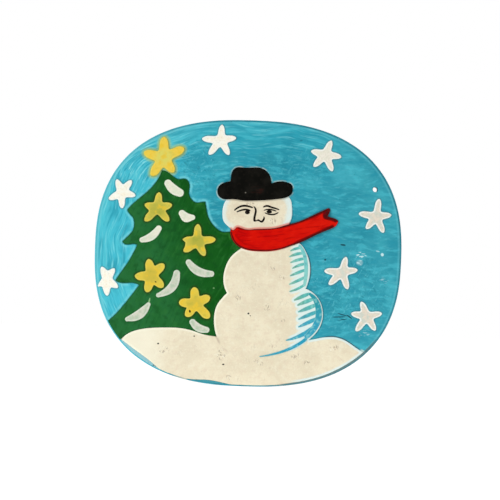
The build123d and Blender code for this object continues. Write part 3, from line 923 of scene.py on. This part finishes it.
BODY_SEAMS = [(-17, -50, 7, 14, 0.0), (-13, -60, 8, 10, 0.0), (38, -47.5, 10, 4, 0.4)]
bank_paint = make_cream_paint(
    "cream snow paint", 60.0,
    marks=[(-51, -54.5, 1.1, 0.9), (-12.5, -65.5, 1.3, 0.8), (-30, -49.5, 0.9, 0.7)],
    worn=[(29.5, -59, 6, 5, 0.3), (36, -62.5, 5, 4, 0.0), (-48, -58, 9, 5, 0.1), (-9, -73, 4, 4, 0.0),
          (8, -63.5, 8, 4, -0.5), (-14, -60, 6, 10, 0.2), (52, -54, 8, 4, 0.4)],
    seams=BODY_SEAMS, glow=bank_highlight, cool=bank_edge_highlight,
)
lay("snow_bank", bank_paint, "cream_paint", spacing=0.65, rounding=0.4, joined_to=["snowman_body"],
    **{"Edge Drop": 0.32, "Bristle Depth": 0.05, "Bristle Spacing": 1.6, "Bristle Length": 20.0,
       "Brush Angle": 0.08, "Follow Edge": 3.0, "Dapple Depth": 0.05, "Deepest": 0.38})
print("bank:", len(laid["snow_bank"].data.polygons), "faces")

# %% [markdown]
# The body has a painted highlight down its left side, a lighter line where the light from the left
# catches its rounded edge, and it is cooler on the right, under the blue shading strokes.

# %% Snowman's body
def body_cool(paint):
    between = paint.ease(paint.fact("near_stroke"), 1.7, 0.7) * paint.ease(paint.x, 24, 27)
    return between + paint.ease(paint.x + paint.patches(5.0, 71.0) * 4, 30, 36) * 0.8


# painted highlight: a lighter line along the body's edge on its left side
def body_highlight(paint):
    return paint.ease(paint.fact("edge"), 1.6, 0.5) * paint.ease(paint.x, 10, -4)


body_paint = make_cream_paint(
    "cream body paint", 70.0,
    marks=[(1.3, -35.2, 1.1, 1.0), (2.5, -36.5, 0.7, 0.5)],
    worn=[(12, -31, 5, 6, 0.0), (20.5, -13, 5, 5, 0.0), (15, -8, 4, 4, 0.0), (22, -39, 5, 3, 0.0),
          (-17, -49.5, 2.4, 6, 0.0), (-14, -57, 5, 6, 0.3), (16, -54, 6, 3, 0.1), (-5, -26, 5, 4, 0.0)],
    seams=BODY_SEAMS, glow=body_highlight, cool=body_cool,
)
STROKES_ON_BODY = [f"upper_shade_stroke_{n}" for n in range(1, 8)]
STROKES_ON_BODY += [f"lower_shade_stroke_{n}" for n in range(1, 7)]
STROKES_ON_BODY += ["upper_shade_band", "lower_shade_band", "base_shade_stroke"]
lay("snowman_body", body_paint, "cream_paint", spacing=0.6, rounding=0.5, joined_to=["snow_bank"],
    measures={"near_stroke": trace(*STROKES_ON_BODY)},
    **{"Edge Drop": 0.45, "Bristle Depth": 0.05, "Bristle Spacing": 1.6, "Bristle Length": 12.0,
       "Brush Angle": 1.35, "Follow Edge": 4.0, "Dapple Depth": 0.06, "Join Drop": 0.2,
       "Join Reach": 9.0, "Deepest": 0.6})


print("body:", len(laid["snowman_body"].data.polygons), "faces")

# %% [markdown]
# The head turns bluer towards its sides. The hat throws a little shadow on it, and red from the scarf
# bled into the cream above it. Both are thin colours that fade with the distance to the other coat.

# %% Snowman's head
def head_cool(paint):
    blotches = paint.patches(3.0, 81.0)
    sides = paint.ease(paint.fact("edge") + blotches * 4 - paint.ease(paint.x, 8, 20) * 1.4, 5.4, 2.6)
    return sides * paint.ease(paint.z, 12, 18) * (0.8 + paint.ease(blotches, 0.4, 0.6) * 0.2)


# painted highlight: a lighter line all round the head's edge
def head_highlight(paint):
    return paint.ease(paint.fact("edge"), 1.0, 0.4) * 0.7


def make_head_paint():
    """The cream of the head, with shadow under the brim and red that bled above the scarf."""
    return make_cream_paint(
        "cream head paint", 80.0, worn=[(1, 29, 8, 3, 0.0), (14, 19, 5, 5, 0.0)], glow=head_highlight,
        cool=head_cool, washes=[("near_scarf", 1.5, 0.5, 0.8, tint(230, 124, 112)),
                                ("near_hat", 1.1, 0.3, 0.5, tint(120, 116, 104))],
    )


head_paint = make_head_paint()
lay("snowman_head", head_paint, "cream_paint", spacing=0.5, rounding=0.5, joined_to=["hat", "scarf"],
    measures={"near_scarf": trace("scarf"), "near_hat": trace("hat")},
    **{"Edge Drop": 0.45, "Bristle Depth": 0.05, "Bristle Spacing": 1.2, "Bristle Length": 9.0,
       "Brush Angle": 0.1, "Follow Edge": 4.0, "Dapple Depth": 0.05, "Deepest": 0.6})
print("head:", len(laid["snowman_head"].data.polygons), "faces")

# %% [markdown]
# ## The hat
# The hat is black paint in one fat coat, with a faint warm smudge or two. Black shows every reflection
# of the room, so this paint has the weaker sheen.

# %% Hat
def make_black_paint():
    paint = Paint("black hat paint")
    clouds = paint.patches(7.0, 90.0)
    streaks = paint.streaks(8.0, 1.2, 0.1, 91.0)
    paint.colour = paint.blend(paint.ease(clouds, 0.4, 0.7), tint(19, 19, 17), tint(28, 27, 24))
    flecks = paint.patches(1.8, 92.0, 3.0)
    paint.wash(paint.ease(flecks, 0.54, 0.7) * 0.5, tint(36, 32, 28))
    warm = paint.spot(4, 37, 10, 6, 0.0, 0.9) * paint.ease(streaks, 0.45, 0.65)
    paint.wash(warm * 0.5, tint(58, 28, 24))
    paint.wash(paint.spot(-2.6, 35.5, 1.0, 0.9) * 0.8, tint(120, 116, 106))
    return paint.finish(0.4 + streaks * 0.14, streaks, 0.3, 0.1, sheen=DEEP_SHEEN)


lay("hat", make_black_paint(), "black_paint", spacing=0.55, rounding=0.5,
    **{"Edge Drop": 0.5, "Bristle Depth": 0.06, "Bristle Spacing": 1.3, "Bristle Length": 9.0,
       "Brush Angle": 0.1, "Follow Edge": 5.0, "Dapple Depth": 0.05, "Deepest": 0.65})
print("hat:", len(laid["hat"].data.polygons), "faces")

# %% [markdown]
# ## The scarf
# The scarf is red, brushed along its length, and its streaks must bend with it. The distance to its
# edge bends with it already, so it serves as the streaks' across direction.

# %% Scarf
def make_red_paint():
    paint = Paint("red scarf paint")
    edge = paint.fact("edge")
    clouds = paint.patches(9.0, 95.0)
    round_bend = paint.vector((paint.x + paint.z) / 11, (edge + clouds * 3) / 1.3, 96.0)
    bent = paint.noise(round_bend, 2.5, 0.6)
    level = paint.streaks(10, 1.4, 0.12, 97.0)
    bent = bent + (level - bent) * paint.ease(edge, 2.5, 4.5)
    tail = paint.ease(paint.x, 18, 44)
    paint.colour = paint.blend(paint.ease(clouds, 0.35, 0.65), tint(206, 17, 6), tint(220, 25, 12))
    paint.wash(tail * 0.6, tint(223, 31, 18))
    paint.wash(paint.ease(bent, 0.5, 0.34) * 0.75, tint(176, 8, 4))
    paint.wash(paint.ease(bent, 0.58, 0.72) * 0.4, tint(230, 48, 36))
    paint.wash(paint.ease(edge, 0.8, 0.2) * paint.ease(paint.x, 12, -8) * 0.7, tint(120, 8, 8))
    beside_line = paint.ease(paint.fact("near_line") + clouds * 0.6, 1.3, 0.5)
    beside_line = beside_line * paint.ease(paint.x, 16, 34)
    paint.wash(beside_line * 0.8, tint(104, 6, 12))
    fold = paint.spot(44.4, 25.2, 6.4, 3.0, 1.3, 0.5) + paint.spot(50.4, 20.2, 1.8, 1.5, 0.0, 0.7)
    paint.wash(fold * 0.75, tint(98, 12, 20))
    return paint.finish(0.36 + bent * 0.14, bent, 0.3, 0.12, sheen=DEEP_SHEEN)


lay("scarf", make_red_paint(), "red_paint", spacing=0.5, rounding=0.5,
    measures={"near_line": trace("scarf_top_line", "scarf_bottom_line", "scarf_tail_shadow")},
    **{"Edge Drop": 0.5, "Bristle Depth": 0.12, "Bristle Spacing": 1.1, "Bristle Length": 14.0,
       "Follow Edge": 40.0, "Dapple Depth": 0.05, "Deepest": 0.7})
print("scarf:", len(laid["scarf"].data.polygons), "faces")

# %% [markdown]
# ## Stars
# The sky stars are white, brighter on the left and thinner on the right, where blue shows through
# near their edges. The tree's stars are yellow over green: their middles are greenish, where the paint
# is thin, and the ends of the arms are warm, where the brush lifted and left a bead.

# %% White and yellow star paint
def make_white_paint(name, way, thin_from, thin_to, full_pair, thin_pair, beneath, bead):
    """White that turns thin along a way across the board, from one place to another. The way is
    how much x and how much z count. Each pair is its two tones, beneath shows through, and bead
    is how much whiter the edge is, where the brush pushed paint up."""
    paint = Paint(name)
    clouds = paint.patches(3.0, 100.0, 3.0)
    edge = paint.fact("edge")
    thin = paint.ease(paint.x * way[0] + paint.z * way[1], thin_from, thin_to)
    full = paint.blend(paint.ease(clouds, 0.35, 0.65), *full_pair)
    meagre = paint.blend(paint.ease(clouds, 0.35, 0.65), *thin_pair)
    paint.colour = paint.blend(thin, full, meagre)
    raised = paint.ease(edge + clouds, 1.7, 1.0)
    paint.wash(raised * bead, tint(252, 254, 248))
    dust = paint.noise(paint.vector(paint.x / 1.0, paint.z / 1.0, 104.0), 2.0)
    paint.wash(paint.ease(dust, 0.52, 0.7) * (0.3 + thin * 0.2), tint(214, 200, 182))
    paint.wash(paint.ease(edge, 0.35, 0.05) * 0.45, beneath)
    return paint.finish(0.42 + clouds * 0.12, clouds, 0.25, 0.1)


star_paint = make_white_paint(
    "white star paint", (1, -0.5), -50, 90, (tint(254, 247, 226), tint(255, 255, 242)),
    (tint(210, 216, 203), tint(234, 221, 202)), tint(140, 196, 204), bead=0.85,
)
STROKE = {"Edge Drop": 0.26, "Dish": 0.04, "Bristle Depth": 0.06, "Bristle Spacing": 0.7,
          "Bristle Length": 5.0, "Follow Edge": 30.0, "Dapple Depth": 0.05, "Dapple Size": 3.0,
          "Deepest": 0.3}
for number in range(1, 8):
    lay(f"sky_star_{number}", star_paint, "white_paint", spacing=0.4, rounding=0.35, **STROKE)


def make_yellow_paint():
    paint = Paint("yellow star paint")
    clouds = paint.patches(4.5, 110.0, 2.0)
    edge, middle = paint.fact("edge"), paint.fact("middle")
    high = paint.ease(paint.z, 20, 50)
    far_out = paint.ease(middle + clouds * 3, 3.5, 9)
    golden = paint.spot(-30, -31, 34, 34, 0.0, 0.4) + paint.spot(-57, -14, 26, 26, 0.0, 0.8) * 0.9
    centre = paint.blend(golden, tint(184, 180, 70), tint(214, 190, 70))
    low = paint.blend(far_out, centre, paint.blend(golden, tint(212, 198, 82), tint(228, 202, 74)))
    tall = paint.blend(far_out, tint(226, 217, 104), tint(243, 210, 80))
    paint.colour = paint.blend(high, low, tall)
    paint.wash(paint.ease(clouds, 0.5, 0.66) * 0.7, tint(238, 200, 56))
    paint.wash(paint.ease(clouds, 0.46, 0.3) * (0.6 - high * 0.4 - golden * 0.3), tint(160, 168, 66))
    bead = paint.ease(edge + clouds, 1.5, 0.9)
    paint.wash(bead * 0.4, tint(242, 216, 98))
    paint.wash(paint.ease(edge, 0.4, 0.05) * 0.5, tint(176, 192, 96))
    specks = paint.spot(-33, -35, 1.2, 2.0, 0.2) + paint.spot(-53.6, -18.4, 1.3, 1.0, -0.5) * 0.8
    paint.wash(specks, tint(24, 18, 8))
    return paint.finish(0.4 + clouds * 0.12, clouds, 0.3, 0.1)


yellow_paint = make_yellow_paint()
for number in range(1, 5):
    lay(f"tree_star_{number}", yellow_paint, "yellow_paint", spacing=0.4, rounding=0.35, **STROKE)
lay("tree_top_star", yellow_paint, "yellow_paint", spacing=0.45, rounding=0.45,
    **{**STROKE, "Edge Drop": 0.5, "Deepest": 0.6})
star_faces = [len(piece.data.polygons) for node, piece in laid.items() if "star" in node]
print("stars:", sum(star_faces), "faces")

# %% [markdown]
# ## Garland strokes
# Seven short white strokes hang on the tree as a garland. Each is one touch of a loaded brush. The
# upper three are solid white, and the lower four are thin, with the green showing through.

# %% Garlands
garland_paint = make_white_paint(
    "garland white", (0, 1), 16, -10, (tint(226, 232, 208), tint(240, 236, 216)),
    (tint(184, 202, 176), tint(216, 217, 200)), tint(130, 172, 132), bead=0.3,
)
for number in range(1, 8):
    lay(f"garland_{number}", garland_paint, "white_paint", spacing=0.35, rounding=0.35, **STROKE)
print("garlands laid")

# %% [markdown]
# ## Shading strokes on the snowman's right side
# Two curved bands and a row of short strokes turn the flat cream into two round balls. The strokes are
# teal, bluer towards the foot, and fade to a pale tip where the brush left the surface.

# %% Teal shading
def make_shade_paint(name, root, tip):
    paint = Paint(name)
    along, edge = paint.fact("along"), paint.fact("edge")
    clouds = paint.patches(2.5, 120.0)
    low = paint.ease(paint.z, -26, -42)
    paint.colour = paint.blend(paint.ease(along, 0.1, 0.75), tip, root)
    paint.wash(low * 0.75, tint(40, 158, 198))
    paint.wash(paint.ease(clouds, 0.5, 0.66) * 0.5, tint(150, 218, 212))
    paint.wash(paint.ease(clouds, 0.48, 0.32) * 0.4, tint(52, 146, 160))
    paint.wash(paint.ease(edge, 0.4, 0.05) * 0.35, tint(160, 216, 208))
    return paint.finish(0.42 + clouds * 0.1, clouds, 0.2, 0.08)


LINE = {"Edge Drop": 0.11, "Bristle Depth": 0.03, "Bristle Spacing": 0.5, "Bristle Length": 4.0,
        "Follow Edge": 20.0, "Dapple Depth": 0.02, "Dapple Size": 2.0, "Deepest": 0.13}
upper_shade = make_shade_paint("pale teal shading", tint(124, 206, 204), tint(144, 212, 204))
lower_shade = make_shade_paint("teal shading", tint(44, 154, 166), tint(96, 178, 168))
stroke_shade = make_shade_paint("stroke shading", tint(98, 190, 182), tint(120, 176, 150))
lay("upper_shade_band", upper_shade, "shade_paint", spacing=0.3, rounding=0.25, **LINE)
lay("lower_shade_band", lower_shade, "shade_paint", spacing=0.35, rounding=0.25, **LINE)
lay("base_shade_stroke", lower_shade, "shade_paint", spacing=0.3, rounding=0.25, **LINE)
for level, count in (("upper", 7), ("lower", 6)):
    for number in range(1, count + 1):
        lay(f"{level}_shade_stroke_{number}", stroke_shade, "shade_paint", spacing=0.25, rounding=0.2,
            **LINE)
print("shading laid")

# %% [markdown]
# ## The drawn face and the scarf's dark lines
# The face is drawn with the tip of a fine brush in brown-black: brows, lids, pupils and one line for
# the nose. The scarf's edges are drawn the same way in a dark maroon.

# %% Fine lines
def make_line_paint(name, deep, thin):
    paint = Paint(name)
    clouds = paint.patches(1.6, 130.0)
    edge = paint.fact("edge")
    paint.colour = paint.blend(paint.ease(clouds, 0.5, 0.72) * 0.5, deep, thin)
    paint.wash(paint.ease(edge, 0.12, 0.0) * 0.15, thin)
    return paint.finish(0.42 + clouds * 0.1, clouds, 0.2, 0.06)


line_paint = make_line_paint("brown black line paint", tint(20, 15, 12), tint(52, 42, 34))
maroon_paint = make_line_paint("maroon line paint", tint(84, 10, 14), tint(128, 14, 14))
FACE = ("left_brow", "right_brow", "left_eyelid", "right_eyelid", "right_lower_lid", "left_pupil",
        "right_pupil", "nose_line")
for node in FACE:
    lay(node, line_paint, "line_paint", spacing=0.16, rounding=0.14, **LINE)
for node in ("scarf_top_line", "scarf_bottom_line", "scarf_tail_shadow"):
    lay(node, maroon_paint, "maroon_paint", spacing=0.25, rounding=0.2, **LINE)
print("pieces laid:", len(laid))

# %% [markdown]
# ## Floor, light and camera
# The plaque stands on a plain pale floor in soft light. A large lamp high on the left gives the ridges
# their shape, a weaker one on the right keeps the shadows open, and one behind lights the bare back.
# The world is white where the camera looks past the plaque, and only a dim grey as a source of light,
# so that the black hat stays black.

# %% Floor and world
FLOOR_SIZE = 0.9


def make_floor():
    half = FLOOR_SIZE / 2
    level = cad_box[0].z
    mesh = bpy.data.meshes.new("floor")
    corners = [(x, y, level) for x, y in ((-half, -half), (half, -half), (half, half), (-half, half))]
    mesh.from_pydata(corners, [], [(0, 1, 2, 3)])
    floor = bpy.data.objects.new("floor", mesh)
    scene.collection.objects.link(floor)
    material = bpy.data.materials.new("pale floor")
    material.use_nodes = True
    bench = Bench(material.node_tree)
    speckle = bench.noise(bench.node("ShaderNodeTexCoord", out="Object"), 3.0, 0.5, 40.0)
    skin = bench.node("ShaderNodeBsdfPrincipled", None, {
        "Base Color": (0.3, 0.3, 0.3, 1), "Roughness": 0.85 + speckle * 0.1,
        "Specular IOR Level": 0.0, "Emission Color": (1, 1, 1, 1), "Emission Strength": 0.88,
    })
    bench.node("ShaderNodeOutputMaterial", None, {"Surface": skin})
    mesh.materials.append(material)


def make_world(seen, cast):
    world = bpy.data.worlds.new("studio")
    world.use_nodes = True
    bench = Bench(world.node_tree)
    camera_ray = bench.node("ShaderNodeLightPath", out="Is Camera Ray")
    glow = bench.node("ShaderNodeBackground", None, {
        "Color": (1, 1, 1, 1), "Strength": camera_ray * (seen - cast) + cast,
    })
    bench.node("ShaderNodeOutputWorld", None, {"Surface": glow})
    scene.world = world


make_floor()
make_world(seen=1.0, cast=0.2)
scene.view_settings.view_transform = "Standard"
print("floor at", round(cad_box[0].z, 4), "m")

# %% [markdown]
# Each lamp is a large square, because a broad source gives soft light, and it is turned to face the
# painted side. Its size and power are picked together: a larger lamp is softer, not brighter.

# %% Lamps
AIM = Vector((0, painted_face * MM, 0))


def lamp(name, place, size, power):
    """A square soft lamp that faces the plaque."""
    light = bpy.data.lights.new(name, "AREA")
    light.shape = "SQUARE"
    light.size = size
    light.energy = power
    holder = bpy.data.objects.new(name, light)
    holder.location = place
    holder.rotation_euler = (AIM - Vector(place)).to_track_quat("-Z", "Y").to_euler()
    scene.collection.objects.link(holder)


lamp("key lamp", (-1.05, -0.95, 1.0), 0.7, 18)
lamp("fill lamp", (1.2, -1.2, 0.5), 1.0, 5)
lamp("back lamp", (0.5, 1.5, 0.9), 1.2, 20)

# %% [markdown]
# The camera looks straight at the painted face with a long lens, so the outline keeps its true
# proportions. It is rolled by a little under two degrees, and the plaque hangs slightly tilted.

# %% Camera
LENS = 85.0
SENSOR = 36.0
VIEW_WIDTH = 293.15         # millimetres of the painted plane across the picture
VIEW_CENTRE = (1.06, 1.99)
ROLL = 0.032

lens = bpy.data.cameras.new("camera")
lens.lens = LENS
lens.sensor_width = SENSOR
camera = bpy.data.objects.new("camera", lens)
away = VIEW_WIDTH * LENS / SENSOR
position = Vector((VIEW_CENTRE[0], painted_face - away, VIEW_CENTRE[1])) * MM
camera.matrix_world = (Matrix.Translation(position) @ Matrix.Rotation(math.pi / 2, 4, "X")
                       @ Matrix.Rotation(ROLL, 4, "Z"))
scene.collection.objects.link(camera)
scene.camera = camera
print(f"camera {away:.0f} mm from the painted face")
